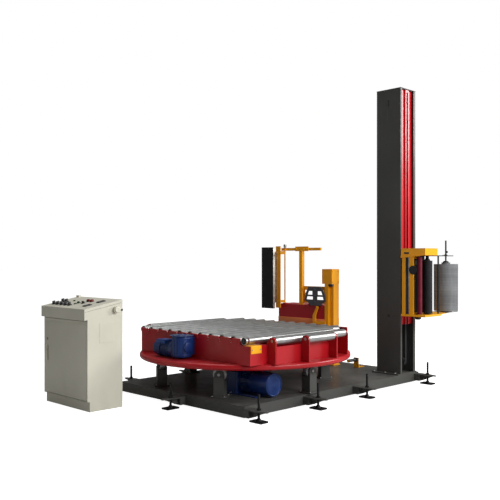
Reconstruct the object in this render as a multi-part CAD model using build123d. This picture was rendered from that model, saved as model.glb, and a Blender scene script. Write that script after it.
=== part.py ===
from build123d import *
import os
from math import atan2, cos, degrees, radians, sin

# Turntable pallet wrapper, in millimetres, +Z up.
# The origin is the turntable's axis at floor level. +X points to the mast,
# and the pallet travels along Y.

# ---------------------------------------------------------------- dimensions
# base
BASE_X = (-830, 1676)
BASE_HALF = 830
FLOOR_GAP = 17
RAIL_HEIGHT = 80
RAIL_THICK = 20
PLATE_THICK = 8
DECK = FLOOR_GAP + RAIL_HEIGHT + PLATE_THICK
CROSS_X = (0, 1180)

# levelling feet
FOOT_X = (-800, -85, 609, 1638)
BACK_FOOT_X = (-616, 72, 609, 1638)
SIDE_FOOT_Y = -78
BRACKET_REACH = 225
SCREW_REACH = 130
SCREW_R = 10
SCREW_TOP = DECK + 113
PAD_LONG = 132
PAD_WIDE = 88
PAD_THICK = 12
ANCHOR_R = 7
ANCHOR_REACH = SCREW_REACH + 45

# turntable support
POST_RADIUS = 790
POST_ANGLES = (30, 90, 150, 210, 270, 330)
POST_SIZE = 90
POST_TOP = DECK + 173
CHEEK_GAP = 52
CHEEK_THICK = 12
WHEEL_R = 59.5
WHEEL_WIDTH = 44
WHEEL_Z = 295
AXLE_R = 12
RUNNING = 0.05

# slewing bearing and drive
PEDESTAL_R = 250
PEDESTAL_TOP = 330
RING_TEETH = 80
PINION_TEETH = 16
GEAR_MODULE = 10
GEAR_Z = (300, 335)
DRIVE_X = -395
DRIVE_MOTOR_R = 97
DRIVE_MOTOR_Y = (-743, -400)
DRIVE_AXIS_Z = 212

# turntable disc
DISC_R = 984
DISC_Z = (355, 403)
DISC_SKIN = 10
DISC_EDGE_R = 20

# roller conveyor on the disc
WALL_X = 713
WALL_THICK = 8
WALL_HALF = 659
WALL_TOP = 614
ROLLER_COUNT = 9
PITCH = 138
ROLLER_R = 42
ROLLER_TOP = 628
ROLLER_HALF = 684
END_R = 31
END_Y = 700
STUB_R = 36
STUB_Y = 828
NOSE_Y = 916
EAR_THICK = 12
EAR_R = 42
EAR_TOP = 622
APRON_TOP = 560
STEP_TOP = 548
SHEET = 8
LUG_R = 22
FRONT_STEPS = (-779, -872)
STUB_X = (-513, 435)
NOSE_X = (-200, 168)
REAR_STEP = 779
REAR_STUB = 500
END_Z = ROLLER_TOP - END_R
STUB_Z = ROLLER_TOP - STUB_R

# conveyor gearmotor
GEARCASE_X = -800
GEARCASE_Y = -32
GEARCASE_R = 84
GEARCASE_Z = (419, 607)
CONV_MOTOR_R = 69
CONV_MOTOR_Z = 475
CONV_MOTOR_END = 281

# mast
MAST_X = (1339, 1605)
MAST_Y = (-838, -554)
MAST_TOP = 2965
MAST_WALL = 10
MAST_LIP = 34
GUIDE_BOTTOM = 605
GUIDE_DEPTH = 26

# film carriage
CAR_Y = (-1115, -842)
FLOOR_Z = (695, 715)
HEAD_Z = (1295, 1364)
CHEEK_LOW = 1269
HEAD_X = (1339, 1567)
FILM_X = 1950
FILM_Y = -985
FILM_R = 122
FILM_Z = (724, 1206)
SPINDLE_R = 8
SPINDLE_TOP = 1450
ARM_Z = (1287, 1295)
PIN_R = 9
STRETCH_X, STRETCH_Y, STRETCH_R = 1480, -1060, 43
IDLER_X, IDLER_Y, IDLER_R = 1552, -1000, 43
DANCER_X, DANCER_Y, DANCER_R = 1362, -1043, 21
DANCER_PIVOT = (1385, -1000)

# clamp, cut and wipe unit
UNIT_X = (1345, 1600)
HOUSING_Y = (139, 812)
HOUSING_Z = (600, 747)
BED = 65
COLUMN_X = 1474
COLUMN_HEAD_Z = (988, 1148)
TEE_Y = 466
TEE_BAR = (1352, 1383)
WIPER_PIVOT = (1344, 715)
WIPER_TOP = 1402
GRIP_HINGE = (1332, 751)
LEVER_PIVOT = (223, 727)

# console
CON_X = (-1545, -1200)
CON_Y = (274, 970)
HOOD_X = -1574
CON_FRONT = 848
CON_BACK = 916
HOOD = 93
PLINTH = 85
CON_SHEET = 3
DOOR_Z = (92, 744)
DOOR_HINGE = (-1542.5, 282.5)
DOOR_PIN_R = 2
BUTTON_R = 11
START_PLACE = (-1405, 637)
SELECTOR_PLACE = (-1405, 562)
EMERGENCY_PLACE = (-1272, 834)


# ------------------------------------------------------------------- helpers
def box(x, y, z):
    """A block between the low and high corner values of each axis."""
    size = [b - a for a, b in (x, y, z)]
    centre = [(a + b) / 2 for a, b in (x, y, z)]
    return Pos(*centre) * Box(*size)


def rod_x(r, x, y, z):
    return Pos((x[0] + x[1]) / 2, y, z) * Rot(0, 90, 0) * Cylinder(r, x[1] - x[0])


def rod_y(r, x, y, z):
    return Pos(x, (y[0] + y[1]) / 2, z) * Rot(90, 0, 0) * Cylinder(r, y[1] - y[0])


def rod_z(r, x, y, z):
    return Pos(x, y, (z[0] + z[1]) / 2) * Cylinder(r, z[1] - z[0])


def cone_z(r_low, r_high, x, y, z):
    return Pos(x, y, (z[0] + z[1]) / 2) * Cone(r_low, r_high, z[1] - z[0])


def plate_x(points, x):
    """A flat plate square to X, outlined by (y, z) points."""
    face = Plane(origin=(x[0], 0, 0), x_dir=(0, 1, 0), z_dir=(1, 0, 0)) * Polygon(*points, align=None)
    return extrude(face, x[1] - x[0], dir=(1, 0, 0))


def plate_y(points, y):
    """A flat plate square to Y, outlined by (x, z) points."""
    face = Plane(origin=(0, y[0], 0), x_dir=(1, 0, 0), z_dir=(0, -1, 0)) * Polygon(*points, align=None)
    return extrude(face, y[1] - y[0], dir=(0, 1, 0))


def plate_z(points, z):
    """A flat plate square to Z, outlined by (x, y) points."""
    face = Pos(0, 0, z[0]) * Polygon(*points, align=None)
    return extrude(face, z[1] - z[0], dir=(0, 0, 1))


def shell(x, y, z, t, leave=""):
    """The sheets of a box, edge to edge, without the faces named in leave, such as '+x-z'."""
    sheets = []
    low, high = z
    if "-z" not in leave:
        sheets.append(box(x, y, (z[0], z[0] + t)))
        low += t
    if "+z" not in leave:
        sheets.append(box(x, y, (z[1] - t, z[1])))
        high -= t
    near, far = x
    if "-x" not in leave:
        sheets.append(box((x[0], x[0] + t), y, (low, high)))
        near += t
    if "+x" not in leave:
        sheets.append(box((x[1] - t, x[1]), y, (low, high)))
        far -= t
    if "-y" not in leave:
        sheets.append(box((near, far), (y[0], y[0] + t), (low, high)))
    if "+y" not in leave:
        sheets.append(box((near, far), (y[1] - t, y[1]), (low, high)))
    return sheets


parts = {}


def add(name, *pieces):
    """Store a node: one solid, or a group of separate solids."""
    flat = [p for piece in pieces for p in (piece if isinstance(piece, list) else [piece])]
    parts[name] = flat[0] if len(flat) == 1 else Compound(children=flat)


# ---------------------------------------------------------------------- base
def foot_bracket():
    """Top plate that tapers outwards over a gusset; built for a foot that points to -Y."""
    top = plate_z([(-44, 0), (44, 0), (44, -120), (12, -BRACKET_REACH), (-12, -BRACKET_REACH), (-44, -120)],
                  (DECK - 22, DECK - 12))
    gusset = plate_x([(0, DECK - 22), (-BRACKET_REACH + 25, DECK - 22), (-95, 38), (0, 25)], (-8, 8))
    hole = rod_z(SCREW_R + 4, 0, -SCREW_REACH, (0, DECK))
    return (top + gusset + box((-44, 44), (-60, 0), (25, DECK - 22))) - hole


def foot_screw():
    """Levelling screw with its lock nut and swivel pad, for a foot that points to -Y."""
    y = -SCREW_REACH
    screw = rod_z(SCREW_R, 0, y, (PAD_THICK, SCREW_TOP))
    nut = Pos(0, y, DECK - 12) * extrude(RegularPolygon(18, 6), 14)
    collar = cone_z(26, 13, 0, y, (PAD_THICK, PAD_THICK + 18))
    pad = box((-PAD_WIDE / 2, PAD_WIDE / 2), (y - PAD_LONG / 2, y + PAD_LONG / 2), (0, PAD_THICK))
    pad = fillet(pad.edges().filter_by(Axis.Z), 10)
    return screw + nut + collar + pad


def feet(shape, anchor=False):
    """The shape at each foot: four along the front, four along the back, one on the left.
    The four feet at the mast end have the anchor holes."""
    anchors = rod_z(ANCHOR_R, 0, -ANCHOR_REACH, (-1, PAD_THICK + 1))
    placed = []
    for n, (front_x, back_x) in enumerate(zip(FOOT_X, BACK_FOOT_X)):
        one = shape - anchors if anchor and n > 1 else shape
        placed.append(Pos(front_x, -BASE_HALF, 0) * one)
        placed.append(Pos(back_x, BASE_HALF, 0) * Rot(0, 0, 180) * one)
    placed.append(Pos(BASE_X[0], SIDE_FOOT_Y, 0) * Rot(0, 0, -90) * shape)
    return placed


def make_base():
    rail_z = (FLOOR_GAP, FLOOR_GAP + RAIL_HEIGHT)
    inner = BASE_HALF - RAIL_THICK
    add("base_plate", box(BASE_X, (-BASE_HALF, BASE_HALF), (DECK - PLATE_THICK, DECK)))
    rails = [box(BASE_X, (s * (BASE_HALF - RAIL_THICK / 2) - RAIL_THICK / 2,
                          s * (BASE_HALF - RAIL_THICK / 2) + RAIL_THICK / 2), rail_z) for s in (-1, 1)]
    rails.append(box((BASE_X[0], BASE_X[0] + RAIL_THICK), (-inner, inner), rail_z))
    rails.append(box((BASE_X[1] - RAIL_THICK, BASE_X[1]), (-inner, inner), rail_z))
    rails += [box((x - RAIL_THICK, x + RAIL_THICK), (-inner, inner), rail_z) for x in CROSS_X]
    add("base_frame", rails, feet(foot_bracket()))
    centre_foot = box((-80, 80), (-80, 80), (0, FLOOR_GAP))
    add("levelling_feet", feet(foot_screw(), anchor=True), centre_foot)


def make_posts():
    """Six posts stand on a circle under the disc, each with a fork that holds a wheel."""
    half = POST_SIZE / 2
    post = box((-half, half), (-half, half), (DECK, POST_TOP))
    cheeks = []
    for side in (-1, 1):
        inner = side * CHEEK_GAP / 2
        outer = side * (CHEEK_GAP / 2 + CHEEK_THICK)
        x = (min(inner, outer), max(inner, outer))
        cheek = plate_x([(-40, POST_TOP), (40, POST_TOP), (40, WHEEL_Z + 10), (25, WHEEL_Z + 30),
                         (-25, WHEEL_Z + 30), (-40, WHEEL_Z + 10)], x)
        cheeks.append(cheek - rod_x(AXLE_R + RUNNING, (x[0] - 1, x[1] + 1), 0, WHEEL_Z))
    well = rod_x(WHEEL_R + 4, (-CHEEK_GAP / 2, CHEEK_GAP / 2), 0, WHEEL_Z)
    fork = (post - well) + cheeks[0] + cheeks[1]
    wheel = rod_x(WHEEL_R, (-WHEEL_WIDTH / 2, WHEEL_WIDTH / 2), 0, WHEEL_Z)
    wheel = chamfer(wheel.edges().filter_by(GeomType.CIRCLE), 4)
    axle_end = CHEEK_GAP / 2 + CHEEK_THICK + 6
    wheel = wheel + rod_x(AXLE_R, (-axle_end, axle_end), 0, WHEEL_Z)
    add("support_posts", [Rot(0, 0, a) * Pos(POST_RADIUS, 0, 0) * fork for a in POST_ANGLES])
    for n, a in enumerate(POST_ANGLES, 1):
        add(f"support_wheel_{n}", Rot(0, 0, a) * Pos(POST_RADIUS, 0, 0) * wheel)


def gear_outline(teeth, start):
    """Points of a straight-sided spur gear with a tooth centred at the start angle, in degrees."""
    pitch_r = teeth * GEAR_MODULE / 2
    step = 360 / teeth
    points = []
    for n in range(teeth):
        mid = start + n * step
        for r, part in ((pitch_r - 1.2 * GEAR_MODULE, -0.34), (pitch_r + 0.85 * GEAR_MODULE, -0.12),
                        (pitch_r + 0.85 * GEAR_MODULE, 0.12), (pitch_r - 1.2 * GEAR_MODULE, 0.34)):
            a = radians(mid + part * step)
            points.append((r * cos(a), r * sin(a)))
    return points


def make_drive():
    """Slewing bearing, the gear ring on its outer race, and the gearmotor whose pinion turns it."""
    centres = (RING_TEETH + PINION_TEETH) * GEAR_MODULE / 2
    drive_y = -(centres ** 2 - DRIVE_X ** 2) ** 0.5
    to_pinion = degrees(atan2(drive_y, DRIVE_X))
    legs = [box((x - 30, x + 30), (y - 30, y + 30), (DECK, 280)) for x in (-140, 140) for y in (-140, 140)]
    add("slew_pedestal", legs, rod_z(PEDESTAL_R, 0, 0, (280, PEDESTAL_TOP)))

    ring = plate_z(gear_outline(RING_TEETH, to_pinion + 180 / RING_TEETH), GEAR_Z)
    collar = rod_z(330, 0, 0, (GEAR_Z[1], DISC_Z[0]))
    add("slew_ring", ring + collar - rod_z(PEDESTAL_R + RUNNING, 0, 0, (GEAR_Z[0] - 1, DISC_Z[0] + 1)))

    pinion = Pos(DRIVE_X, drive_y, 0) * plate_z(gear_outline(PINION_TEETH, to_pinion - 180), GEAR_Z)
    shaft_z = (GEAR_Z[0] - 30, GEAR_Z[0])
    shaft = rod_z(20, DRIVE_X, drive_y, shaft_z) + rod_z(30, DRIVE_X, drive_y, (GEAR_Z[0] - 4, GEAR_Z[0]))
    add("drive_pinion", pinion + shaft)

    case_y = (DRIVE_MOTOR_Y[1], drive_y + 110)
    case = box((DRIVE_X - 105, DRIVE_X + 105), case_y, (DECK + 8, GEAR_Z[0] - 8))
    case = fillet(case.edges().filter_by(Axis.Z), 18)
    case = case - rod_z(20 + RUNNING, DRIVE_X, drive_y, (shaft_z[0] - 1, GEAR_Z[0]))
    foot = box((DRIVE_X - 125, DRIVE_X + 125), (-640, case_y[1] + 20), (DECK, DECK + 8))
    add("drive_gearbox", case + foot)

    motor = rod_y(DRIVE_MOTOR_R, DRIVE_X, DRIVE_MOTOR_Y, DRIVE_AXIS_Z)
    motor = fillet(motor.edges().filter_by(GeomType.CIRCLE), 12)
    terminal_box = box((DRIVE_X + 40, DRIVE_X + 130), (-560, -440), (DRIVE_AXIS_Z + 15, DRIVE_AXIS_Z + 95))
    add("drive_motor", motor + fillet(terminal_box.edges(), 6))


# ----------------------------------------------------------------- turntable
def ring_z(outer, inner, z):
    return rod_z(outer, 0, 0, z) - rod_z(inner, 0, 0, (z[0] - 1, z[1] + 1))


def make_disc():
    """A skin with a rolled rim, stiffened underneath by rings, one of which runs on the wheels."""
    low, top = DISC_Z
    body = rod_z(DISC_R, 0, 0, DISC_Z)
    body = fillet(body.edges().filter_by(GeomType.CIRCLE), DISC_EDGE_R)
    under = (low - 1, top - DISC_SKIN)
    for outer, inner in ((960, POST_RADIUS + 32), (POST_RADIUS - 32, 550), (520, 330), (300, 120)):
        body = body - ring_z(outer, inner, under)
    add("turntable_disc", body)


def roller(r, x, y, z, bearings):
    """A tube with end chamfers on a through shaft that reaches the bearing faces."""
    tube = chamfer(rod_x(r, x, y, z).edges().filter_by(GeomType.CIRCLE), 3)
    return tube + rod_x(AXLE_R, bearings, y, z)


def wall_plate(side, roller_z):
    """A side wall of the conveyor, bored and notched for each roller, with a folded top edge."""
    outer = side * WALL_X
    inner = side * (WALL_X - WALL_THICK)
    lip = side * (WALL_X - WALL_THICK - 15)
    wall = box((min(outer, inner), max(outer, inner)), (-WALL_HALF, WALL_HALF), (DISC_Z[1], WALL_TOP))
    wall = wall + box((min(inner, lip), max(inner, lip)), (-WALL_HALF, WALL_HALF), (WALL_TOP - 6, WALL_TOP))
    for y in roller_places():
        wall = wall - rod_x(AXLE_R + RUNNING, sorted((outer + side, inner - side)), y, roller_z)
        across = sorted((outer + side, lip - side))
        wall = wall - box(across, (y - 13, y + 13), (WALL_TOP - 10, WALL_TOP + 1))
    return wall


def roller_places():
    return [PITCH * (n - (ROLLER_COUNT - 1) / 2) for n in range(ROLLER_COUNT)]


def bearing_hole(x, thick, y, z):
    return rod_x(AXLE_R + RUNNING, (x - 1, x + thick + 1), y, z)


def ear(x, y_axis, back):
    """A round-topped bearing plate that carries the end of a short roller."""
    side = -1 if y_axis < 0 else 1
    cut_z = EAR_TOP - EAR_R
    plate = box((x, x + EAR_THICK), sorted((back, y_axis + side * EAR_R)), (DISC_Z[1], cut_z))
    plate = plate + rod_x(EAR_R, (x, x + EAR_THICK), y_axis, cut_z)
    return plate - bearing_hole(x, EAR_THICK, y_axis, STUB_Z)


def post_lug(x, y_axis, back):
    """A slim bearing post under an end roller, hidden in the roller's groove."""
    lug = box((x, x + SHEET), sorted((back, y_axis)), (APRON_TOP - SHEET, END_Z))
    lug = lug + rod_x(LUG_R, (x, x + SHEET), y_axis, END_Z)
    return lug - bearing_hole(x, SHEET, y_axis, END_Z)


def end_plate(x, back):
    """The right end plate of the front rollers, round at its corner, with a lug for the end roller."""
    thick = (x, x + EAR_THICK)
    lug = box(thick, (-END_Y - LUG_R, -END_Y + LUG_R), (STUB_Z - 20, END_Z))
    lug = lug + rod_x(LUG_R, thick, -END_Y, END_Z)
    return ear(x, -STUB_Y, back) + (lug - bearing_hole(x, EAR_THICK, -END_Y, END_Z))


def make_conveyor():
    roller_z = ROLLER_TOP - ROLLER_R
    add("side_wall_left", wall_plate(-1, roller_z))
    add("side_wall_right", wall_plate(1, roller_z))
    shaft_ends = (-WALL_X + 1, WALL_X - 1)
    for n, y in enumerate(roller_places(), 1):
        add(f"roller_{n}", roller(ROLLER_R, (-ROLLER_HALF, ROLLER_HALF), y, roller_z, shaft_ends))
    make_front_end()
    make_rear_end()


def make_front_end():
    """The end follows the disc's edge in steps: a long end roller, then two shorter ones further out."""
    deck = DISC_Z[1]
    face = (deck, APRON_TOP)
    low_face = (deck, STEP_TOP)
    lip = WALL_X - WALL_THICK
    back = -WALL_HALF
    step_1, step_2 = FRONT_STEPS
    stub_left, stub_right = STUB_X
    nose_left, nose_right = NOSE_X
    inner = stub_left + EAR_THICK
    add("front_beam",
        box((-lip, lip), (back, back + SHEET), face),
        box((-WALL_X, -WALL_X + SHEET), (step_1, back), face),
        box((-WALL_X + SHEET, stub_left), (step_1, step_1 + SHEET), (deck, APRON_TOP - SHEET)),
        box((-WALL_X + SHEET, stub_left), (step_1, back), (APRON_TOP - SHEET, APRON_TOP)),
        post_lug(-684, -END_Y, back),
        ear(stub_left, -STUB_Y, step_1 + SHEET),
        box((inner, inner + SHEET), (step_2, back), low_face),
        box((inner + SHEET, nose_right), (step_2, step_2 + SHEET), low_face),
        ear(nose_left, -NOSE_Y, step_2),
        ear(nose_right, -NOSE_Y, step_2),
        box((nose_right, nose_right + EAR_THICK), (step_2, back), low_face),
        end_plate(stub_right, back))
    cap = rod_x(END_R, (-706, -688), -END_Y, END_Z)
    tube = roller(END_R, (-672, stub_right - 4), -END_Y, END_Z, (-690, stub_right + EAR_THICK))
    add("front_end_roller", tube + cap)
    add("front_stub_roller", roller(STUB_R, (inner + 4, stub_right - 4), -STUB_Y, STUB_Z,
                                    (stub_left, stub_right + EAR_THICK)))
    add("nose_roller", roller(STUB_R, (nose_left + EAR_THICK + 4, nose_right - 4), -NOSE_Y, STUB_Z,
                              (nose_left, nose_right + EAR_THICK)))


def make_rear_end():
    face = (DISC_Z[1], APRON_TOP)
    back = WALL_HALF
    lip = WALL_X - WALL_THICK
    far = REAR_STEP
    add("rear_beam",
        box((-lip, lip), (back - SHEET, back), face),
        box((-REAR_STUB, REAR_STUB), (far - SHEET, far), face),
        [ear(x, STUB_Y, END_Y + END_R + 9) + box((x, x + EAR_THICK), (back, END_Y + END_R + 9), face)
         for x in (-REAR_STUB - EAR_THICK, REAR_STUB)],
        [post_lug(x, END_Y, back) + box((x, x + SHEET), (back, END_Y), (DISC_Z[1], APRON_TOP - SHEET))
         for x in (-676, 668)])
    add("rear_end_roller", roller(END_R, (-664, 664), END_Y, END_Z, (-676, 676)))
    add("rear_stub_roller", roller(STUB_R, (-REAR_STUB + 4, REAR_STUB - 4), STUB_Y, STUB_Z,
                                   (-REAR_STUB - EAR_THICK, REAR_STUB + EAR_THICK)))


def make_conveyor_drive():
    z = GEARCASE_Z
    case = rod_z(GEARCASE_R, GEARCASE_X, GEARCASE_Y, z)
    case = fillet(case.edges().filter_by(GeomType.CIRCLE), 10)
    flange = box((GEARCASE_X, -WALL_X), (GEARCASE_Y - 70, GEARCASE_Y + 70), (z[0] + 14, z[1] - 14))
    nose = rod_y(CONV_MOTOR_R + 2.5, GEARCASE_X, (GEARCASE_Y, GEARCASE_Y + 110), CONV_MOTOR_Z)
    add("conveyor_gearbox", case + flange + nose)
    motor = rod_y(CONV_MOTOR_R, GEARCASE_X, (GEARCASE_Y + 110, CONV_MOTOR_END), CONV_MOTOR_Z)
    add("conveyor_motor", fillet(motor.edges().group_by(Axis.Y)[-1].filter_by(GeomType.CIRCLE), 16))


# ---------------------------------------------------------------------- mast
def make_mast():
    x, y, z = MAST_X, MAST_Y, (DECK + 12, MAST_TOP)
    t = MAST_WALL
    add("mast_column",
        box((x[0] - 35, x[1] + 35), (y[0] + 8, y[1] + 35), (DECK, DECK + 12)),
        box((x[0], x[0] + t), y, z),
        box((x[1] - t, x[1]), y, z),
        box((x[0] + t, x[1] - t), (y[1] - t, y[1]), z),
        box((x[0] + t, x[0] + MAST_LIP - 10), (y[0], y[0] + t), z),
        box((x[1] - MAST_LIP, x[1] - t), (y[0], y[0] + t), z),
        box((x[0] + t, x[1] - t), (y[0] + t, y[1] - t), (MAST_TOP - t, MAST_TOP)))
    web_y = (y[0] + GUIDE_DEPTH, y[0] + GUIDE_DEPTH + 8)
    mid = (x[0] + x[1]) / 2
    web = box((x[0] + t, x[1] - t), web_y, (GUIDE_BOTTOM, MAST_TOP - t))
    bar = box((mid - 30, mid + 30), (y[0] + 10, web_y[0]), (GUIDE_BOTTOM, MAST_TOP - t))
    add("mast_guide", web, bar)


# ------------------------------------------------------------- film carriage
def make_carriage():
    x = HEAD_X[0]
    low, high = FLOOR_Z[1], HEAD_Z[0]
    between = (low, high)
    holes = [rod_z(PIN_R + RUNNING, px, py, (FLOOR_Z[0], HEAD_Z[1]))
             for px, py in ((STRETCH_X, STRETCH_Y), (IDLER_X, IDLER_Y), DANCER_PIVOT)]

    head = shell(HEAD_X, CAR_Y, HEAD_Z, 4)
    head[0] = head[0] - holes[2]
    cheek = plate_x([(CAR_Y[1], CHEEK_LOW), (CAR_Y[1], high), (CAR_Y[0], high)], (x - 6, x))
    add("carriage_head", head, cheek)

    skirt_z = (FLOOR_Z[0], FLOOR_Z[0] + 12)
    outline = [(x, CAR_Y[1]), (x, CAR_Y[0]), (1640, CAR_Y[0]), (2030, -1010), (2030, -905), (1640, CAR_Y[1])]
    floor = plate_z(outline, (skirt_z[1], low))
    for hole in holes:
        floor = floor - hole
    add("carriage_floor",
        floor,
        box((x, 1640), (CAR_Y[0], CAR_Y[0] + 6), skirt_z),
        box((x, x + 6), (CAR_Y[0] + 6, CAR_Y[1]), skirt_z))

    shoes = []
    for z in ((low + 20, low + 110), (high - 110, high - 20)):
        front = box((1427, 1517), (-853, CAR_Y[1]), z)
        shoes.append(front + box((1427, 1517), (CAR_Y[1], MAST_Y[0] + 9), z))
    add("carriage_posts",
        box((x, x + 60), (-894, -853), between),
        box((x, x + 60), (-982, -938), between),
        box((x + 12, x + 34), (-938, -894), between),
        box((1505, 1561), (-894, -853), between),
        box((x + 60, 1505), (-858, -853), between),
        shoes)

    case_x = (1410, 1500)
    add("stretch_drive",
        box(case_x, (-1010, -870), (1066, high)),
        rod_z(38, 1455, -935, (low, 1066)),
        rod_x(42, (x - 17, x - 1), -985, 1152) + rod_x(12, (x - 1, case_x[0]), -1000, 1152))

    pin_z = (FLOOR_Z[0] + 12.5, ARM_Z[1] - 0.5)
    for name, px, py, r in (("stretch_roller", STRETCH_X, STRETCH_Y, STRETCH_R),
                            ("idler_roller", IDLER_X, IDLER_Y, IDLER_R)):
        body = fillet(rod_z(r, px, py, (low + 7, 1243)).edges().filter_by(GeomType.CIRCLE), 4)
        add(name, body + cone_z(24, 10, px, py, (1243, 1266)) + rod_z(PIN_R, px, py, pin_z))

    px, py = DANCER_PIVOT
    dancer = rod_z(DANCER_R, DANCER_X, DANCER_Y, (low + 14, 1271))
    link_outline = [(px + 10, py - 4), (px - 6, py + 8), (DANCER_X - 12, DANCER_Y), (DANCER_X + 8, DANCER_Y - 8)]
    bottom_arm = ((low + 5, low + 14), (FLOOR_Z[0] + 12.5, low + 14))
    top_arm = ((1271, 1280), (1271, high + 3.5))
    for arm_z, stub_z in (bottom_arm, top_arm):
        link = plate_z(link_outline, arm_z)
        dancer = dancer + link + rod_z(12, px, py, arm_z) + rod_z(PIN_R, px, py, stub_z)
        dancer = dancer + rod_z(15, DANCER_X, DANCER_Y, arm_z)
    add("dancer_roller", dancer)

    arm = plate_z([(1440, -1112), (1640, -1112), (2005, -1040), (2005, -940), (1512, -940), (1512, -1013),
                   (1440, -1013)], ARM_Z)
    chuck_z = (low, FILM_Z[0] - 0.5)
    knob = Pos(FILM_X + SPINDLE_R, FILM_Y - SPINDLE_R, 1331) * Sphere(11)
    add("film_spindle",
        arm - holes[0] - holes[1],
        rod_z(SPINDLE_R, FILM_X, FILM_Y, (low, ARM_Z[0])) + rod_z(58, FILM_X, FILM_Y, chuck_z),
        rod_z(SPINDLE_R, FILM_X, FILM_Y, (ARM_Z[1], SPINDLE_TOP)) + knob,
        rod_z(SPINDLE_R, 1621, -1090, (low, ARM_Z[0])))
    roll = rod_z(FILM_R, FILM_X, FILM_Y, FILM_Z) + rod_z(44, FILM_X, FILM_Y, (FILM_Z[1], FILM_Z[1] + 17))
    add("film_roll", roll - rod_z(SPINDLE_R + RUNNING, FILM_X, FILM_Y, (FILM_Z[0] - 1, FILM_Z[1] + 18)))


# ------------------------------------------------- clamp, cut and wipe unit
def make_clamp_unit():
    x = UNIT_X[0]
    low, top = HOUSING_Z
    bed_low = low - BED
    hinge_x, hinge_z = GRIP_HINGE
    lever_y, lever_z = LEVER_PIVOT
    shaft_x, shaft_y = WIPER_PIVOT

    housing = shell(UNIT_X, HOUSING_Y, HOUSING_Z, 4)
    housing[2] = housing[2] - rod_x(8 + RUNNING, (x - 1, x + 5), lever_y, lever_z)
    ears = []
    for y in ((152, 163), (347, 358)):
        hinge_ear = box((hinge_x - 11, x), y, (hinge_z - 15, hinge_z + 11))
        ears.append(hinge_ear - rod_y(6 + RUNNING, hinge_x, (y[0] - 1, y[1] + 1), hinge_z))
    foot = box((x + 1, x + 40), (shaft_y - 16, shaft_y + 16), (top, top + 11))
    foot = foot + box((shaft_x - 14, x + 1), (shaft_y - 16, shaft_y + 16), (top, top + 11))
    add("clamp_housing",
        housing,
        box(UNIT_X, HOUSING_Y, (bed_low, low)),
        shell((1420, 1540), (400, 540), (DECK, bed_low), 5, "-z+z"),
        ears,
        foot - rod_z(8 + RUNNING, shaft_x, shaft_y, (top - 1, top + 12)))

    tee = 1356
    post_y = TEE_Y + 3
    back_x = (1390, 1396)
    lug = box((shaft_x - 14, tee), (shaft_y - 16, shaft_y + 16), (TEE_BAR[0], TEE_BAR[0] + 20))
    add("clamp_frame",
        shell((x, COLUMN_X), (35, 171), COLUMN_HEAD_Z, 4),
        shell((1381, COLUMN_X), (40, 134), (DECK, COLUMN_HEAD_Z[0]), 4, "-z+z"),
        shell((x, 1381), (86, 134), (DECK, COLUMN_HEAD_Z[0]), 4, "-z+z+x"),
        box((tee, tee + 42), (post_y, post_y + 42), (top, TEE_BAR[0])),
        box((tee, tee + 20), (202, 781), TEE_BAR),
        box((tee - 8, tee), (TEE_Y - 96, TEE_Y + 96), (TEE_BAR[0] - 6, TEE_BAR[1] + 15)),
        box(back_x, (134, post_y), (top + 18, 955)) - box(back_x, (185, post_y - 18), (top + 48, 912)),
        lug - rod_z(8 + RUNNING, shaft_x, shaft_y, (TEE_BAR[0] - 1, TEE_BAR[0] + 21)))

    shaft = rod_z(8, shaft_x, shaft_y, (top + 0.5, WIPER_TOP))
    shaft = shaft + rod_z(13, shaft_x, shaft_y, (WIPER_TOP, WIPER_TOP + 12))
    link_outline = [(shaft_x - 4, shaft_y - 7), (shaft_x + 4, shaft_y + 7), (1300, 748), (1292, 740)]
    link = plate_z(link_outline, (top + 14, top + 44)) + plate_z(link_outline, (TEE_BAR[0] - 40, TEE_BAR[0] - 4))
    add("wiper_arm",
        shaft + link + box((1292, 1300), (739, 809), (700, WIPER_TOP + 1)),
        box((1226, 1292), (790, 806), (760, 1340)))
    add("wiper_pad", box((1196, 1226), (764, 942), (696, 1391)))

    y0, y1 = 110, 406
    mid = (y0 + y1) / 2
    outline = [(350, 952), (170, 952), (125, 880), (y0, 800), (150, 782), (165, 766), (165, hinge_z),
               (345, hinge_z), (345, 766), (360, 782), (y1, 800), (390, 880)]
    grip = plate_x(outline, (hinge_x - 6, hinge_x + 6))
    low_window = [(286, 812), (380, 812), (372, 845), (286, 845)]
    high_window = [(293, 865), (366, 865), (348, 905), (293, 905)]
    for window in (low_window, high_window):
        mirrored = [(2 * mid - y, z) for y, z in window]
        for points in (window, mirrored):
            grip = grip - plate_x(points, (hinge_x - 7, hinge_x + 7))
    add("gripper", grip + rod_y(6, hinge_x, (152.5, 357.5), hinge_z))

    lever_x = (hinge_x - 10, hinge_x + 4)
    lever_outline = [(lever_y - 13, lever_z), (lever_y + 13, lever_z), (285, 640), (285, 547), (110, 547),
                     (110, 580), (245, 580), (245, 640)]
    lever = plate_x(lever_outline, lever_x)
    lever = lever + rod_x(16, lever_x, lever_y, lever_z) + rod_x(8, (lever_x[1], x + 8), lever_y, lever_z)
    add("cutter_lever", lever)


def make_home_sensor():
    """A position sensor on an angle bracket, level with the wheels, looks at the turntable."""
    y = (-240, -178)
    add("home_sensor",
        box((1450, 1556), y, (DECK, DECK + 8)),
        box((1450, 1458), y, (DECK + 8, DECK + 105)),
        rod_x(16, (1310, 1450), (y[0] + y[1]) / 2, DECK + 83))


# ------------------------------------------------------------------- console
def panel_z(x, drop=0):
    """Height of the sloped panel at x, or of the line that runs the given drop below it."""
    slope = (CON_BACK - CON_FRONT) / (CON_X[1] - HOOD_X)
    return CON_FRONT + (x - HOOD_X) * slope - drop


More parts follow.
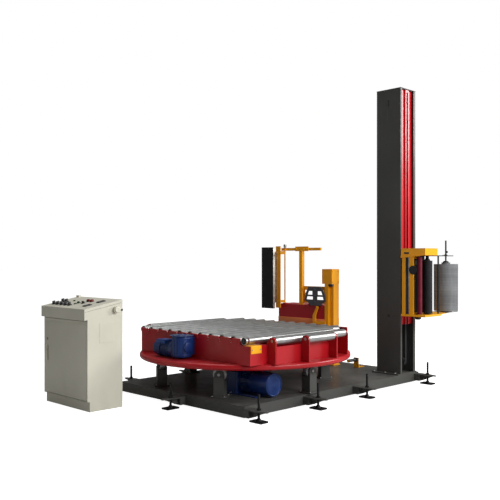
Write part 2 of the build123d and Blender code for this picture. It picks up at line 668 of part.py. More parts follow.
def sloped(x, high_drop, low_drop, y):
    """A solid between two lines parallel to the sloped panel."""
    points = [(x[0], panel_z(x[0], low_drop)), (x[1], panel_z(x[1], low_drop)),
              (x[1], panel_z(x[1], high_drop)), (x[0], panel_z(x[0], high_drop))]
    return plate_y(points, y)


def on_panel(x, y):
    """A frame on the sloped panel whose Z axis stands square to it."""
    tilt = degrees(atan2(CON_BACK - CON_FRONT, CON_X[1] - HOOD_X))
    return Pos(x, y, panel_z(x)) * Rot(0, -tilt, 0)


def make_console():
    x, y, t = CON_X, CON_Y, CON_SHEET
    inside = (y[0] + t, y[1] - t)
    hinge_x, hinge_y = DOOR_HINGE
    rail_z = (DOOR_Z[1] + 3, DOOR_Z[1] + 12)
    hole = rod_z(DOOR_PIN_R + RUNNING, hinge_x, hinge_y, (PLINTH - 1, rail_z[1] + 1))
    side = [(x[0], PLINTH), (x[1], PLINTH), (x[1], panel_z(x[1], HOOD)), (x[0], panel_z(x[0], HOOD))]
    add("console_cabinet",
        plate_y(side, (y[0], y[0] + t)),
        plate_y(side, (y[1] - t, y[1])),
        box((x[1] - t, x[1]), inside, (PLINTH, panel_z(x[1] - t, HOOD))),
        box((x[0], x[1] - t), inside, (PLINTH, PLINTH + t)) - hole,
        box((x[0], x[0] + 15), inside, rail_z) - hole,
        shell((x[0] + 23, x[1]), y, (0, PLINTH), t, "+z"))

    button = on_panel(*START_PLACE)
    selector = on_panel(*SELECTOR_PLACE)
    knob_x, knob_z = EMERGENCY_PLACE
    bore = Cylinder(BUTTON_R + RUNNING, 40)
    top = sloped((HOOD_X, x[1]), 0, t, inside) - button * bore - selector * bore
    near = sloped((HOOD_X, x[1]), 0, HOOD, (y[0], y[0] + t))
    add("control_panel",
        near - rod_y(BUTTON_R + RUNNING, knob_x, (y[0] - 1, y[0] + t + 1), knob_z),
        sloped((HOOD_X, x[1]), 0, HOOD, (y[1] - t, y[1])),
        top,
        sloped((HOOD_X, HOOD_X + t), t, HOOD, inside),
        sloped((HOOD_X + t, x[0]), HOOD - t, HOOD, inside),
        sloped((x[1] - t, x[1]), t, HOOD, inside))

    door_x = (x[0], x[0] + 4)
    door = box(door_x, (inside[0] + 1, inside[1] - 1), DOOR_Z)
    pins = rod_z(DOOR_PIN_R, hinge_x, hinge_y, (PLINTH + 0.5, DOOR_Z[0])) \
        + rod_z(DOOR_PIN_R, hinge_x, hinge_y, (DOOR_Z[1], rail_z[1] - 1))
    handle = box((x[0] - 18, x[0] - 8), (900, 918), (373, 504))
    stems = box((x[0] - 8, x[0]), (904, 914), (378, 396)) + box((x[0] - 8, x[0]), (904, 914), (481, 499))
    add("console_door", door + pins + handle + stems)

    add("start_button", button * Cylinder(BUTTON_R, 26))
    grip = Pos(0, 0, 13) * Box(9, 2 * BUTTON_R + 8, 14)
    skirt = Pos(0, 0, 3.3) * Cylinder(BUTTON_R + 5, 6)
    add("selector_switch", selector * (Pos(0, 0, -5) * Cylinder(BUTTON_R, 20) + skirt + grip))
    mushroom = rod_y(28, knob_x, (y[0] - 42, y[0] - 19), knob_z)
    mushroom = fillet(mushroom.edges().group_by(Axis.Y)[0], 9)
    add("emergency_knob", mushroom + rod_y(BUTTON_R, knob_x, (y[0] - 19, y[0] + 10), knob_z))


def main():
    make_base()
    make_posts()
    make_drive()
    make_disc()
    make_conveyor()
    make_conveyor_drive()
    make_mast()
    make_carriage()
    make_clamp_unit()
    make_home_sensor()
    make_console()
    os.makedirs("parts", exist_ok=True)
    for name, shape in parts.items():
        export_step(shape, f"parts/{name}.step")


main()
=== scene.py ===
from math import atan2, cos, pi, radians, sin

import bmesh
import bpy
from mathutils import Matrix, Vector


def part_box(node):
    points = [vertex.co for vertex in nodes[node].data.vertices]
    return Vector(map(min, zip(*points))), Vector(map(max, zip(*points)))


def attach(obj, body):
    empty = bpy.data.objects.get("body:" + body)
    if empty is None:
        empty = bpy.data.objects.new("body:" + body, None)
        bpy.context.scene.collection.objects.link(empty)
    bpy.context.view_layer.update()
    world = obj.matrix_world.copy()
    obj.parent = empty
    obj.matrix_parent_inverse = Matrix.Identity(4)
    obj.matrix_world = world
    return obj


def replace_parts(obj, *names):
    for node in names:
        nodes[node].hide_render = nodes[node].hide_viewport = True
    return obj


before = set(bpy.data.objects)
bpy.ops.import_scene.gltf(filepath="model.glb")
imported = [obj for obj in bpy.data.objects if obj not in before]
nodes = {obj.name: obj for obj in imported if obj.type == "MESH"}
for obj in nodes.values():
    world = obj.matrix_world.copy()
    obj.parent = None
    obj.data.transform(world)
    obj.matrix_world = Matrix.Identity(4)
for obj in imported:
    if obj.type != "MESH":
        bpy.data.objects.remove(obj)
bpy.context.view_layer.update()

# The floor is z = 0 and the turntable turns about the Z axis. Sizes are in metres.
PEEL = 0.00025              # height of the enamel's orange peel
BOLT_R = 0.010              # half the width of a common bolt head
FIN = 0.0035                # thickness of a motor's cooling fin
DRUM_R = 0.084              # the conveyor gearbox's drum
ROLLER_R = 0.042            # a deck roller
SHAFT_Z = 0.586             # height of the deck rollers' shafts
FRONT_STEP_Y = -0.779       # the set-back part of the front beam's face
POST_RING_R = 0.79          # circle on which the six support posts stand
POST_ANGLES = [radians(30 + 60 * n) for n in range(6)]
FOOT_PLATE = 0.012          # thickness of the mast's foot plate
SENSOR_HEIGHT = 0.083       # the sensor barrel's axis above the deck plate
MAST_X = 1.339              # the mast's face towards the turntable
MAST_Y = (-0.838, -0.554)   # its width
ARM_TOP = 1.295             # top of the carriage's arm
PANEL_FRONT_Z = 0.848       # the console panel's front edge
BACKDROP_LIGHT = 0.17       # what the white surroundings give to the object
PAPER_GLOW = 0.97           # how white the camera sees the floor

# The ends of the rollers at the front and rear of the deck.
END_ROLLERS = {"front_end_roller": (-0.706, 0.431), "front_stub_roller": (-0.497, 0.431),
               "nose_roller": (-0.184, 0.164), "rear_end_roller": (-0.664, 0.664),
               "rear_stub_roller": (-0.496, 0.496)}
DECK_ROLLER = (-0.684, 0.684)


# ------------------------------------------------------------------ finishes
class Value:
    """A socket in a finish. Arithmetic on it adds the Math nodes that work it out."""

    def __init__(self, finish, socket):
        self.finish = finish
        self.socket = socket

    def reckon(self, operation, *values):
        return self.finish.node("Math", {"operation": operation}, dict(enumerate(values)))

    def __add__(self, other):
        return self.reckon("ADD", self, other)

    def __sub__(self, other):
        return self.reckon("SUBTRACT", self, other)

    def __rsub__(self, other):
        return self.reckon("SUBTRACT", other, self)

    def __mul__(self, other):
        return self.reckon("MULTIPLY", self, other)

    def __gt__(self, other):
        return self.reckon("GREATER_THAN", self, other)

    __radd__ = __add__
    __rmul__ = __mul__


class Finish:
    """A material with the record's slot that it stands for."""

    def __init__(self, name, slot, **surface):
        self.slot = slot
        self.material = bpy.data.materials.new(name)
        self.material.use_nodes = True
        tree = self.material.node_tree
        self.nodes, self.links = tree.nodes, tree.links
        self.shader = self.nodes["Principled BSDF"]
        for socket, value in surface.items():
            self.set(socket.replace("_", " ").title(), value)

    def node(self, kind, settings, sockets, output=0):
        made = self.nodes.new("ShaderNode" + kind)
        for name, value in settings.items():
            if name == "stops":
                ramp = made.color_ramp
                for element, (position, shade) in zip(ramp.elements, value):
                    element.position = position
                    element.color = (shade, shade, shade, 1)
            else:
                setattr(made, name, value)
        for name, value in sockets.items():
            self.feed(made.inputs[name], value)
        return Value(self, made.outputs[output])

    def feed(self, socket, value):
        if isinstance(value, Value):
            self.links.new(value.socket, socket)
        else:
            socket.default_value = value

    def set(self, socket, value):
        if isinstance(value, tuple) and len(value) == 3:
            value = (*value, 1)
        self.feed(self.shader.inputs[socket], value)

    def place(self, scale=(1, 1, 1)):
        """Object coordinates, stretched where a scale is given."""
        spot = self.node("TexCoord", {}, {}, "Object")
        if scale == (1, 1, 1):
            return spot
        return self.node("Mapping", {}, {"Vector": spot, "Scale": scale})

    def axis(self, letter):
        return self.node("SeparateXYZ", {}, {0: self.place()}, "XYZ".index(letter))

    def noise(self, scale, detail, stretch=(1, 1, 1)):
        return self.node("TexNoise", {}, {"Vector": self.place(stretch), "Scale": scale, "Detail": detail})

    def ramp(self, value, low, high):
        """0 below low, 1 above high and a straight climb between."""
        return self.node("ValToRGB", {"stops": [(low, 0), (high, 1)]}, {0: value})

    def mix(self, part, a, b):
        a, b = ((*c, 1) if isinstance(c, tuple) and len(c) == 3 else c for c in (a, b))
        return self.node("Mix", {"data_type": "RGBA"}, {0: part, 6: a, 7: b}, 2)

    def upward(self):
        """How far the surface faces up, from 0 to 1."""
        facing = self.node("NewGeometry", {}, {}, "Normal")
        return self.node("SeparateXYZ", {}, {0: facing}, 2)

    def emboss(self, height, distance, strength):
        bump = self.node("Bump", {}, {"Height": height, "Distance": distance, "Strength": strength})
        self.set("Normal", bump)


def scaled(colour, k):
    return tuple(min(1.0, c * k) for c in colour)


def enamel(name, slot, colour, rough=0.34, dust=0.25):
    """Sprayed enamel: uneven tone, orange peel, fine scuffs, and dust on what faces up."""
    f = Finish(name, slot, coat_weight=0.12, coat_roughness=0.18)
    f.set("Specular IOR Level", 0.32)
    tone = f.ramp(f.noise(1.7, 5), 0.35, 0.68)
    body = f.mix(tone, scaled(colour, 0.84), scaled(colour, 1.08))
    scuffs = f.ramp(f.noise(26, 6, (1, 1, 0.12)), 0.66, 0.72)
    body = f.mix(scuffs * 0.22, body, scaled(colour, 1.9))
    settled = f.ramp(f.upward(), 0.6, 1.0) * f.ramp(f.noise(7, 6), 0.4, 0.75)
    body = f.mix(settled * dust, body, (0.30, 0.29, 0.26))
    f.set("Base Color", body)
    f.set("Roughness", rough + 0.16 * f.noise(38, 4) + 0.25 * settled - 0.08)
    f.emboss(f.noise(420, 2) + 0.5 * f.noise(90, 2), PEEL, 0.6)
    return f


def powder_coat(name, slot, colour):
    """Fine-grained powder coat of sheet steel."""
    f = Finish(name, slot)
    tone = f.ramp(f.noise(2.4, 4), 0.3, 0.7)
    body = f.mix(tone, scaled(colour, 0.93), scaled(colour, 1.03))
    grime = f.ramp(f.noise(5, 6, (1, 1, 0.35)), 0.56, 0.8)
    body = f.mix(grime * 0.22, body, scaled(colour, 0.62))
    f.set("Base Color", body)
    f.set("Roughness", 0.46 + 0.2 * f.noise(60, 3))
    f.emboss(f.noise(1100, 2), 0.0002, 0.5)
    return f


def turned_steel(name, slot, axis, colour, rough):
    """Zinc-plated tube: rings left by turning along its axis, and faint wear tracks."""
    f = Finish(name, slot, metallic=1.0)
    along = tuple(1.0 if letter == axis else 0.02 for letter in "XYZ")
    rings = f.noise(900, 3, along)
    tracks = f.noise(9, 5, along)
    clouds = f.noise(14, 5)
    body = f.mix(f.ramp(tracks, 0.4, 0.66), scaled(colour, 0.80), colour)
    body = f.mix(f.ramp(clouds, 0.5, 0.75) * 0.3, body, scaled(colour, 0.66))
    f.set("Base Color", body)
    f.set("Roughness", rough + 0.16 * rings + 0.12 * f.ramp(clouds, 0.4, 0.8))
    f.emboss(rings, 0.00012, 0.5)
    return f


def bare_steel(name, slot, colour, rough=0.38, thread=0.0):
    """Machined or cast steel, with a screw thread where asked."""
    f = Finish(name, slot, metallic=1.0)
    spots = f.noise(45, 5)
    f.set("Base Color", f.mix(f.ramp(spots, 0.4, 0.7), scaled(colour, 0.7), scaled(colour, 1.15)))
    f.set("Roughness", rough + 0.2 * spots)
    height = 0.2 * f.noise(300, 2)
    if thread:
        wave = {"Vector": f.place(), "Scale": thread, "Distortion": 0.0}
        turns = f.node("TexWave", {"bands_direction": "Z"}, wave)
        height = height + turns * (f.axis("Z") > 0.14)
    f.emboss(height, 0.0007, 0.6)
    return f


def rubber(name, slot, colour, rough=0.62):
    """Ground rubber covering with a fine matt grain and talc in its pores."""
    f = Finish(name, slot)
    f.set("Specular IOR Level", 0.25)
    grain = f.noise(700, 3)
    body = f.mix(f.ramp(f.noise(18, 5), 0.45, 0.8), colour, scaled(colour, 1.6))
    f.set("Base Color", body)
    f.set("Roughness", rough + 0.2 * grain)
    f.emboss(grain, 0.0002, 0.5)
    return f


def stretch_film(name, slot):
    """Wound stretch film: clear layers over grey, with winding bands and fine ridges round the roll."""
    f = Finish(name, slot, coat_weight=0.6, coat_roughness=0.12)
    ridges = f.noise(260, 4, (0.01, 0.01, 1))
    bands = f.noise(9, 3, (0.05, 0.05, 1))
    air = f.noise(11, 5, (1, 1, 0.25))
    body = f.mix(f.ramp(bands, 0.35, 0.65), (0.15, 0.155, 0.16), (0.24, 0.245, 0.25))
    body = f.mix(f.ramp(air, 0.5, 0.75) * 0.35, body, (0.38, 0.39, 0.40))
    f.set("Base Color", body)
    f.set("Roughness", 0.16 + 0.22 * ridges)
    f.emboss(ridges + 0.4 * air, 0.0006, 0.6)
    return f


def plastic(name, slot, colour, rough=0.34):
    """Moulded plastic with a faint grain."""
    f = Finish(name, slot)
    grain = f.noise(500, 2)
    f.set("Base Color", f.mix(f.ramp(f.noise(60, 3), 0.3, 0.7), scaled(colour, 0.85), scaled(colour, 1.1)))
    f.set("Roughness", rough + 0.14 * grain)
    f.emboss(grain, 0.0001, 0.4)
    return f


# SHADED_RED is the red enamel darkened to about 0.7: painted shade for the turntable, its walls, beams and
# nuts, and the clamp housing, which stand less lit than the mast guide.
RED, SHADED_RED = (0.60, 0.010, 0.016), (0.42, 0.006, 0.011)
ORANGE, BLUE = (1.0, 0.41, 0.006), (0.005, 0.030, 0.15)
CHARCOAL, CREAM = (0.058, 0.058, 0.053), (0.66, 0.64, 0.53)

red = enamel("red_enamel", "red_paint", RED, dust=0.1)
# A darker copy of the red enamel: painted shade.
shaded_red = enamel("shaded_red_enamel", "red_paint", SHADED_RED, dust=0.12)
yellow = enamel("yellow_enamel", "yellow_paint", ORANGE, rough=0.36, dust=0.12)
blue = enamel("blue_enamel", "blue_paint", BLUE, rough=0.36)
# A lighter copy of the blue enamel: painted light on top of the conveyor motor's terminal box.
top_lit_blue = enamel("top_lit_blue_enamel", "blue_paint", (0.008, 0.065, 0.30), rough=0.36)
charcoal = enamel("charcoal_enamel", "dark_grey_paint", CHARCOAL, rough=0.56, dust=0.1)
soot = enamel("black_enamel", "black_paint", (0.012, 0.012, 0.013), rough=0.4, dust=0.1)
graphite = enamel("graphite_enamel", "dark_grey_paint", (0.075, 0.078, 0.088), rough=0.36, dust=0.1)
# A lighter copy of the red enamel: painted highlight on the lit middle of the mast guide.
guide_highlight_red = enamel("guide_highlight_enamel", "red_paint", (0.80, 0.020, 0.030), rough=0.28, dust=0.0)
bed_brown = enamel("brown_enamel", "yellow_paint", (0.75, 0.22, 0.06), rough=0.42, dust=0.1)
cream = powder_coat("cream_powder_coat", "console_body", CREAM)
# A dark copy of the console paint, for the painted shadow under the hood's edge.
seam_shadow = powder_coat("seam_shadow", "console_body", (0.20, 0.195, 0.16))
roller_zinc = turned_steel("roller_zinc", "zinc_steel", "X", (0.50, 0.51, 0.50), 0.27)
black_steel = bare_steel("black_oxide_steel", "black_steel", (0.035, 0.035, 0.036), 0.4, thread=110)
bolt_steel = bare_steel("bolt_steel", "zinc_steel", (0.42, 0.42, 0.40))
bare_alloy = bare_steel("alloy_strip", "zinc_steel", (0.55, 0.53, 0.47), 0.4)
gear_steel = bare_steel("gear_steel", "cast_gear", (0.16, 0.16, 0.16))
black_rubber = rubber("black_rubber", "rubber", (0.012, 0.012, 0.014))
dark_red_rubber = rubber("dark_red_rubber", "red_rubber", (0.13, 0.004, 0.018), 0.45)
wheel_steel = bare_steel("wheel_steel", "wheel_tread", (0.42, 0.41, 0.41))
film = stretch_film("wound_film", "film")
black_plastic = plastic("black_plastic", "knob_black", (0.012, 0.012, 0.013))
red_plastic = plastic("red_plastic", "knob_red", (0.16, 0.004, 0.006), 0.26)
green_plastic = plastic("green_plastic", "knob_green", (0.006, 0.05, 0.014), 0.26)
cream_plastic = plastic("cream_plastic", "knob_cream", (0.72, 0.70, 0.58), 0.3)
screen = plastic("dark_screen", "knob_black", (0.006, 0.009, 0.010), 0.06)
board = plastic("core_board", "film", (0.30, 0.20, 0.11), 0.7)


def paint_nodes():
    """The finish of each part that comes from the frame."""
    chosen = {
        "base_plate": charcoal, "base_frame": charcoal, "support_posts": charcoal,
        "slew_pedestal": charcoal, "mast_column": charcoal, "levelling_feet": black_steel,
        "drive_motor": blue, "drive_gearbox": blue, "slew_ring": gear_steel, "drive_pinion": gear_steel,
        "turntable_disc": shaded_red, "side_wall_left": shaded_red, "side_wall_right": shaded_red,
        "front_beam": shaded_red, "rear_beam": shaded_red, "conveyor_gearbox": blue, "conveyor_motor": blue,
        "mast_guide": red, "carriage_head": yellow, "carriage_floor": yellow, "carriage_posts": yellow,
        "stretch_drive": soot, "film_spindle": soot, "film_roll": film, "stretch_roller": black_rubber,
        "idler_roller": black_rubber, "dancer_roller": dark_red_rubber, "clamp_housing": shaded_red,
        "clamp_frame": yellow, "gripper": graphite, "cutter_lever": yellow, "wiper_arm": yellow,
        "wiper_pad": black_rubber, "home_sensor": yellow, "console_cabinet": cream,
        "control_panel": cream, "console_door": cream, "emergency_knob": cream_plastic,
        "start_button": green_plastic, "selector_switch": black_plastic,
    }
    for name, node in nodes.items():
        other = wheel_steel if name.startswith("support_wheel") else roller_zinc
        finish = chosen.get(name, other)
        node.data.materials.clear()
        node.data.materials.append(finish.material)


# ---------------------------------------------------------------- hand tools
def clear_hands():
    """Back to object mode with nothing selected."""
    if bpy.context.mode != "OBJECT":
        bpy.ops.object.mode_set(mode="OBJECT")
    bpy.ops.object.select_all(action="DESELECT")


def hold(piece):
    clear_hands()
    piece.select_set(True)
    bpy.context.view_layer.objects.active = piece
    return piece


def settle(piece):
    """Move the piece's place, turn and size into its mesh."""
    hold(piece)
    bpy.ops.object.transform_apply(location=True, rotation=True, scale=True)
    return piece


def block(low, high):
    low, high = Vector(low), Vector(high)
    clear_hands()
    bpy.ops.mesh.primitive_cube_add(size=1, location=(low + high) / 2, scale=high - low)
    return settle(bpy.context.active_object)


TURNS = {"+X": (0, pi / 2, 0), "-X": (0, -pi / 2, 0), "+Y": (-pi / 2, 0, 0), "-Y": (pi / 2, 0, 0),
         "+Z": (0, 0, 0), "-Z": (pi, 0, 0)}


def drum(start, radius, length, facing="+Z", sides=40, turn=0.0):
    """A cylinder that starts at a point and runs the way it faces."""
    clear_hands()
    bpy.ops.mesh.primitive_cylinder_add(vertices=sides, radius=radius, depth=length,
                                        location=(0, 0, length / 2), rotation=(0, 0, turn))
    piece = settle(bpy.context.active_object)
    piece.rotation_euler = TURNS[facing]
    piece.location = start
    return settle(piece)


def pick(piece, test):
    """In edit mode, select the faces whose centre and normal pass the test."""
    hold(piece)
    bpy.ops.object.mode_set(mode="EDIT")
    bpy.ops.mesh.select_mode(type="FACE")
    bpy.ops.mesh.select_all(action="DESELECT")
    mesh = bmesh.from_edit_mesh(piece.data)
    for face in mesh.faces:
        face.select = bool(test(face.calc_center_median(), face.normal))
    mesh.select_flush_mode()
    bmesh.update_edit_mesh(piece.data)


def end_face(piece, facing):
    """Pick the faces that look one way, such as '+Z'."""
    way = Vector((0, 0, 0))
    way["XYZ".index(facing[1])] = 1 if facing[0] == "+" else -1
    pick(piece, lambda centre, normal: normal.dot(way) > 0.99)


def step(piece, facing, margin, rise):
    """Inset an end face by a margin, then raise or sink it."""
    end_face(piece, facing)
    bpy.ops.mesh.inset(thickness=margin, depth=0)
    bpy.ops.mesh.extrude_region_shrink_fatten(TRANSFORM_OT_shrink_fatten={"value": rise})
    return hold(piece)


def soften(piece, width, segments=2):
    """Round the sharp edges."""
    hold(piece)
    bevel = piece.modifiers.new("round", "BEVEL")
    bevel.width = width
    bevel.segments = segments
    bevel.limit_method = "ANGLE"
    bevel.angle_limit = radians(32)
    bpy.ops.object.modifier_apply(modifier=bevel.name)
    return piece


def join(pieces):
    hold(pieces[0])
    for piece in pieces:
        piece.select_set(True)
    if len(pieces) > 1:
        bpy.ops.object.join()
    return pieces[0]


def copy(piece, offset=(0, 0, 0)):
    hold(piece)
    bpy.ops.object.duplicate(linked=False)
    made = bpy.context.active_object
    made.location = offset
    return settle(made)


def spread(piece, offsets):
    """Copies of the piece at the offsets, joined; the piece itself is used up."""
    copies = [copy(piece, offset) for offset in offsets]
    bpy.data.objects.remove(piece)
    return join(copies)


def ring(piece, centre, axis, count):
    """Copies of the piece evenly round an axis through the centre, joined."""
    centre = Vector(centre)
    made = [piece]
    for n in range(1, count):
        one = copy(piece)
        turn = Matrix.Rotation(2 * pi * n / count, 4, axis)
        one.matrix_world = Matrix.Translation(centre) @ turn @ Matrix.Translation(-centre)
        made.append(settle(one))
    return join(made)


def fit(piece, name, body, finish):
    """Name a finished piece, give it its finish and fix it to its body."""
    hold(piece)
    bpy.ops.object.shade_smooth_by_angle(angle=radians(35))
    piece.name = name
    piece.data.name = name
    piece.data.materials.clear()
    piece.data.materials.append(finish.material)
    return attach(piece, body)


# ------------------------------------------------------------------- fixings
def hex_bolt(start, facing, radius=BOLT_R):
    """A washer and a hexagon head with its chamfer."""
    washer = soften(drum(start, radius * 1.25, radius * 0.22, facing, 24), radius * 0.05, 1)
    head = drum(start, radius, radius * 0.85, facing, 6)
    end_face(head, facing)
    bpy.ops.mesh.inset(thickness=radius * 0.16, depth=radius * 0.06)
    return join([washer, soften(head, radius * 0.04, 1)])


def bolts(name, body, facing, points, radius=BOLT_R, finish=None):
    first = hex_bolt((0, 0, 0), facing, radius)
    return fit(spread(first, points), name, body, finish or bolt_steel)


# ------------------------------------------------------------- gearmotors
def round_of(node):
    """Centre line and radius of a motor that lies along Y."""
    low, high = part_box(node)
    radius = (high.z - low.z) / 2
    return low.x + radius, (low.z + high.z) / 2, radius, low.y, high.y


def motor(name, node, body, facing, cowl_part, fins, finish):
    """A finned motor with a flange at its root and a slatted fan cowl at its free end."""
    x, z, radius, y_low, y_high = round_of(node)
    length = y_high - y_low
    way = 1 if facing == "+Y" else -1
    root = y_low if way > 0 else y_high
    flange = soften(drum((x, root, z), radius * 0.99, length * 0.05, facing, 56), 0.003)
    frame_tube = drum((x, root + way * length * 0.05, z), radius * 0.88, length * 0.9, facing, 56)
    cowl_start = root + way * length * (1 - cowl_part)
    cowl = drum((x, cowl_start, z), radius, length * cowl_part, facing, 56)
    step(cowl, facing, radius * 0.13, -0.004)
    step(cowl, facing, radius * 0.05, 0.003)
    soften(cowl, radius * 0.06, 3)
    parts = [flange, frame_tube, cowl]
    fin_low, fin_high = sorted((root + way * length * 0.06, cowl_start - way * 0.004))
    fin = block((x - FIN / 2, fin_low, z + radius * 0.84), (x + FIN / 2, fin_high, z + radius * 0.985))
    parts.append(ring(soften(fin, 0.0008, 1), (x, 0, z), "Y", fins))
    slat = block((x - radius * 0.03, 0, z + radius * 0.22), (x + radius * 0.03, 0.002, z + radius * 0.72))
    end = root + way * length
    slat.location.y = end - (0.0012 if way > 0 else 0.0008)
    parts.append(ring(settle(slat), (x, 0, z), "Y", 20))
    piece = fit(join(parts), name, body, finish)
    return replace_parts(piece, node)


def terminal_box(name, body, low, high, finish):
    """A cast box with a raised lid."""
    case = block(low, high)
    step(case, "+Z", 0.003, 0.003)
    step(case, "+Z", 0.001, 0.006)
    return fit(soften(case, 0.004, 3), name, body, finish)


def drive_details():
    x, z, radius, y_low, y_high = round_of("drive_motor")
    motor("drive_motor_shell", "drive_motor", "base", "-Y", 0.62, 36, blue)
    terminal_box("drive_terminal_box", "base", (x + radius * 0.5, y_low + 0.19, z + radius * 0.35),
                 (x + radius * 1.3, y_low + 0.30, z + radius * 0.86), blue)
    motor("conveyor_motor_shell", "conveyor_motor", "turntable", "+Y", 0.42, 30, blue)
    x, z, radius, y_low, y_high = round_of("conveyor_motor")
    # The terminal box on top takes the lighter blue: painted light from above.
    terminal_box("conveyor_terminal_box", "turntable", (x - 0.048, y_low + 0.060, z + radius * 0.62),
                 (x + 0.048, y_high - 0.020, z + radius + 0.001), top_lit_blue)
    low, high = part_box("drive_gearbox")
    bolts("gearbox_foot_bolts", "base", "+Z",
          [(px, py, low.z + 0.008) for px in (low.x + 0.011, high.x - 0.011)
           for py in (low.y + 0.30, low.y + 0.46)], 0.0075)


def conveyor_gearbox():
    """A cast drum with flanges, a bolted lid, upright ribs and a round cover towards the motor side."""
    low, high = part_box("conveyor_gearbox")
    radius = DRUM_R
    x, y = low.x + radius, low.y + radius
    body = drum((x, y, low.z + 0.018), radius, high.z - low.z - 0.020, "+Z", 64)
    step(body, "+Z", 0.010, -0.004)
    step(body, "+Z", 0.030, 0.004)
    soften(body, 0.004, 3)
    flanges = [soften(drum((x, y, z), radius + 0.005, 0.012, "+Z", 64), 0.002)
               for z in (low.z + 0.030, high.z - 0.034)]
    rib = block((x - radius - 0.004, y - 0.003, low.z + 0.042),
                (x - radius + 0.01, y + 0.003, high.z - 0.034))
    ribs = ring(soften(rib, 0.001, 1), (x, y, 0), "Z", 12)
    back = soften(block((x, low.y + 0.014, low.z + 0.034), (high.x, low.y + 0.154, high.z - 0.018)), 0.004)
    neck_x, neck_z, neck_r = round_of("conveyor_motor")[:3]
    neck = soften(drum((neck_x, y, neck_z), neck_r + 0.002, high.y - y, "+Y", 56), 0.003)
    cover = drum((x, y - radius * 0.80, (low.z + high.z) / 2), 0.046, 0.026, "-Y", 40)
    step(cover, "-Y", 0.009, 0.004)
    parts = [body, *flanges, ribs, back, neck, soften(cover, 0.002)]
    piece = fit(join(parts), "conveyor_gearbox_casting", "turntable", blue)
    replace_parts(piece, "conveyor_gearbox")
    bolt_ring = 0.068
    points = [(x + bolt_ring * cos(pi * n / 4), y + bolt_ring * sin(pi * n / 4), high.z - 0.003)
              for n in range(8)]
    bolts("gearbox_lid_bolts", "turntable", "+Z", points, 0.0055)


# --------------------------------------------------------------- conveyor
def roller_caps():
    """Bearing caps at both ends of each roller, each with a groove and a raised middle."""
    for name in [n for n in nodes if n.startswith("roller_") or n in END_ROLLERS]:
        low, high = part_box(name)
        y, z = (low.y + high.y) / 2, (low.z + high.z) / 2
        radius = (high.z - low.z) / 2
        ends = END_ROLLERS.get(name, DECK_ROLLER)
        made = []
        for x, facing in zip(ends, ("-X", "+X")):
            cap = drum((x, y, z), radius * 0.86, 0.003, facing, 32)
            step(cap, facing, radius * 0.2, -0.0015)
            step(cap, facing, radius * 0.15, 0.002)
            made.append(cap)
        fit(soften(join(made), 0.0006, 1), f"{name}_caps", name, black_plastic)


def stop_block():
    """The stop block let into the corner of the stepped front end, with two screws in its face."""
    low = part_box("front_beam")[0]
    case = block((low.x + 0.006, FRONT_STEP_Y - 0.007, 0.500), (low.x + 0.124, FRONT_STEP_Y + 0.079, 0.5625))
    step(case, "-Y", 0.006, 0.002)
    fit(soften(case, 0.003, 3), "stop_block", "turntable", yellow)
    rows = [(x, FRONT_STEP_Y - 0.008, 0.531) for x in (low.x + 0.020, low.x + 0.110)]
    bolts("stop_block_screws", "turntable", "-Y", rows, 0.005)


def wall_details():
    """Shaft nuts outside the walls, none where the conveyor gearbox stands in front of them."""
    gear_low, gear_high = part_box("conveyor_gearbox")
    clear = 0.02
    for side, name in ((-1, "left"), (1, "right")):
        low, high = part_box(f"side_wall_{name}")
        face = low.x if side < 0 else high.x
        rows = [(face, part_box(f"roller_{n}")[0].y + ROLLER_R, SHAFT_Z) for n in range(1, 10)]
        if side < 0:
            rows = [p for p in rows if not gear_low.y - clear < p[1] < gear_high.y + clear]
        bolts(f"wall_nuts_{name}", "turntable", "-X" if side < 0 else "+X", rows, 0.0075, shaded_red)


# ------------------------------------------------------------------- base
def base_details():
    plate_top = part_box("base_plate")[1].z
    low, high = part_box("mast_column")
    edge = 0.017
    ends = (low.x + edge, high.x - edge)
    back_row = (ends[0], (low.x + high.x) / 2, ends[1])
    foot_top = plate_top + FOOT_PLATE
    mast_foot = [(x, high.y - edge, foot_top) for x in back_row]
    mast_foot += [(x, y, foot_top) for x in ends for y in (low.y + 0.05, low.y + 0.17)]
    bolts("mast_foot_bolts", "base", "+Z", mast_foot)
    half, corner, pad_top = 0.065, 0.055, plate_top + 0.010
    pads, points = [], []
    for angle in POST_ANGLES:
        pad = soften(block((-half, -half, plate_top), (half, half, pad_top)), 0.002)
        pad.rotation_euler.z = angle
        pad.location = (POST_RING_R * cos(angle), POST_RING_R * sin(angle), 0)
        pads.append(settle(pad))
        for dx, dy in ((-corner, -corner), (-corner, corner), (corner, -corner), (corner, corner)):
            points.append((POST_RING_R * cos(angle) + dx * cos(angle) - dy * sin(angle),
                           POST_RING_R * sin(angle) + dx * sin(angle) + dy * cos(angle), pad_top))
    fit(join(pads), "post_foot_plates", "base", charcoal)
    bolts("post_foot_bolts", "base", "+Z", points, 0.0065)
    low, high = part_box("home_sensor")
    y, z = (low.y + high.y) / 2, plate_top + SENSOR_HEIGHT
    barrel = drum((low.x, y, z), 0.0165, 0.14, "+X")
    step(barrel, "-X", 0.0035, -0.003)
    nuts = [drum((1.445, y, z), 0.023, 0.005, "-X", 6), drum((1.458, y, z), 0.023, 0.006, "+X", 6)]
    fit(soften(join([barrel, *nuts]), 0.0007, 1), "sensor_barrel", "base", black_plastic)
    bolts("sensor_bolts", "base", "+Z", [(x, y, plate_top + 0.008) for x in (1.485, 1.530)], 0.007)


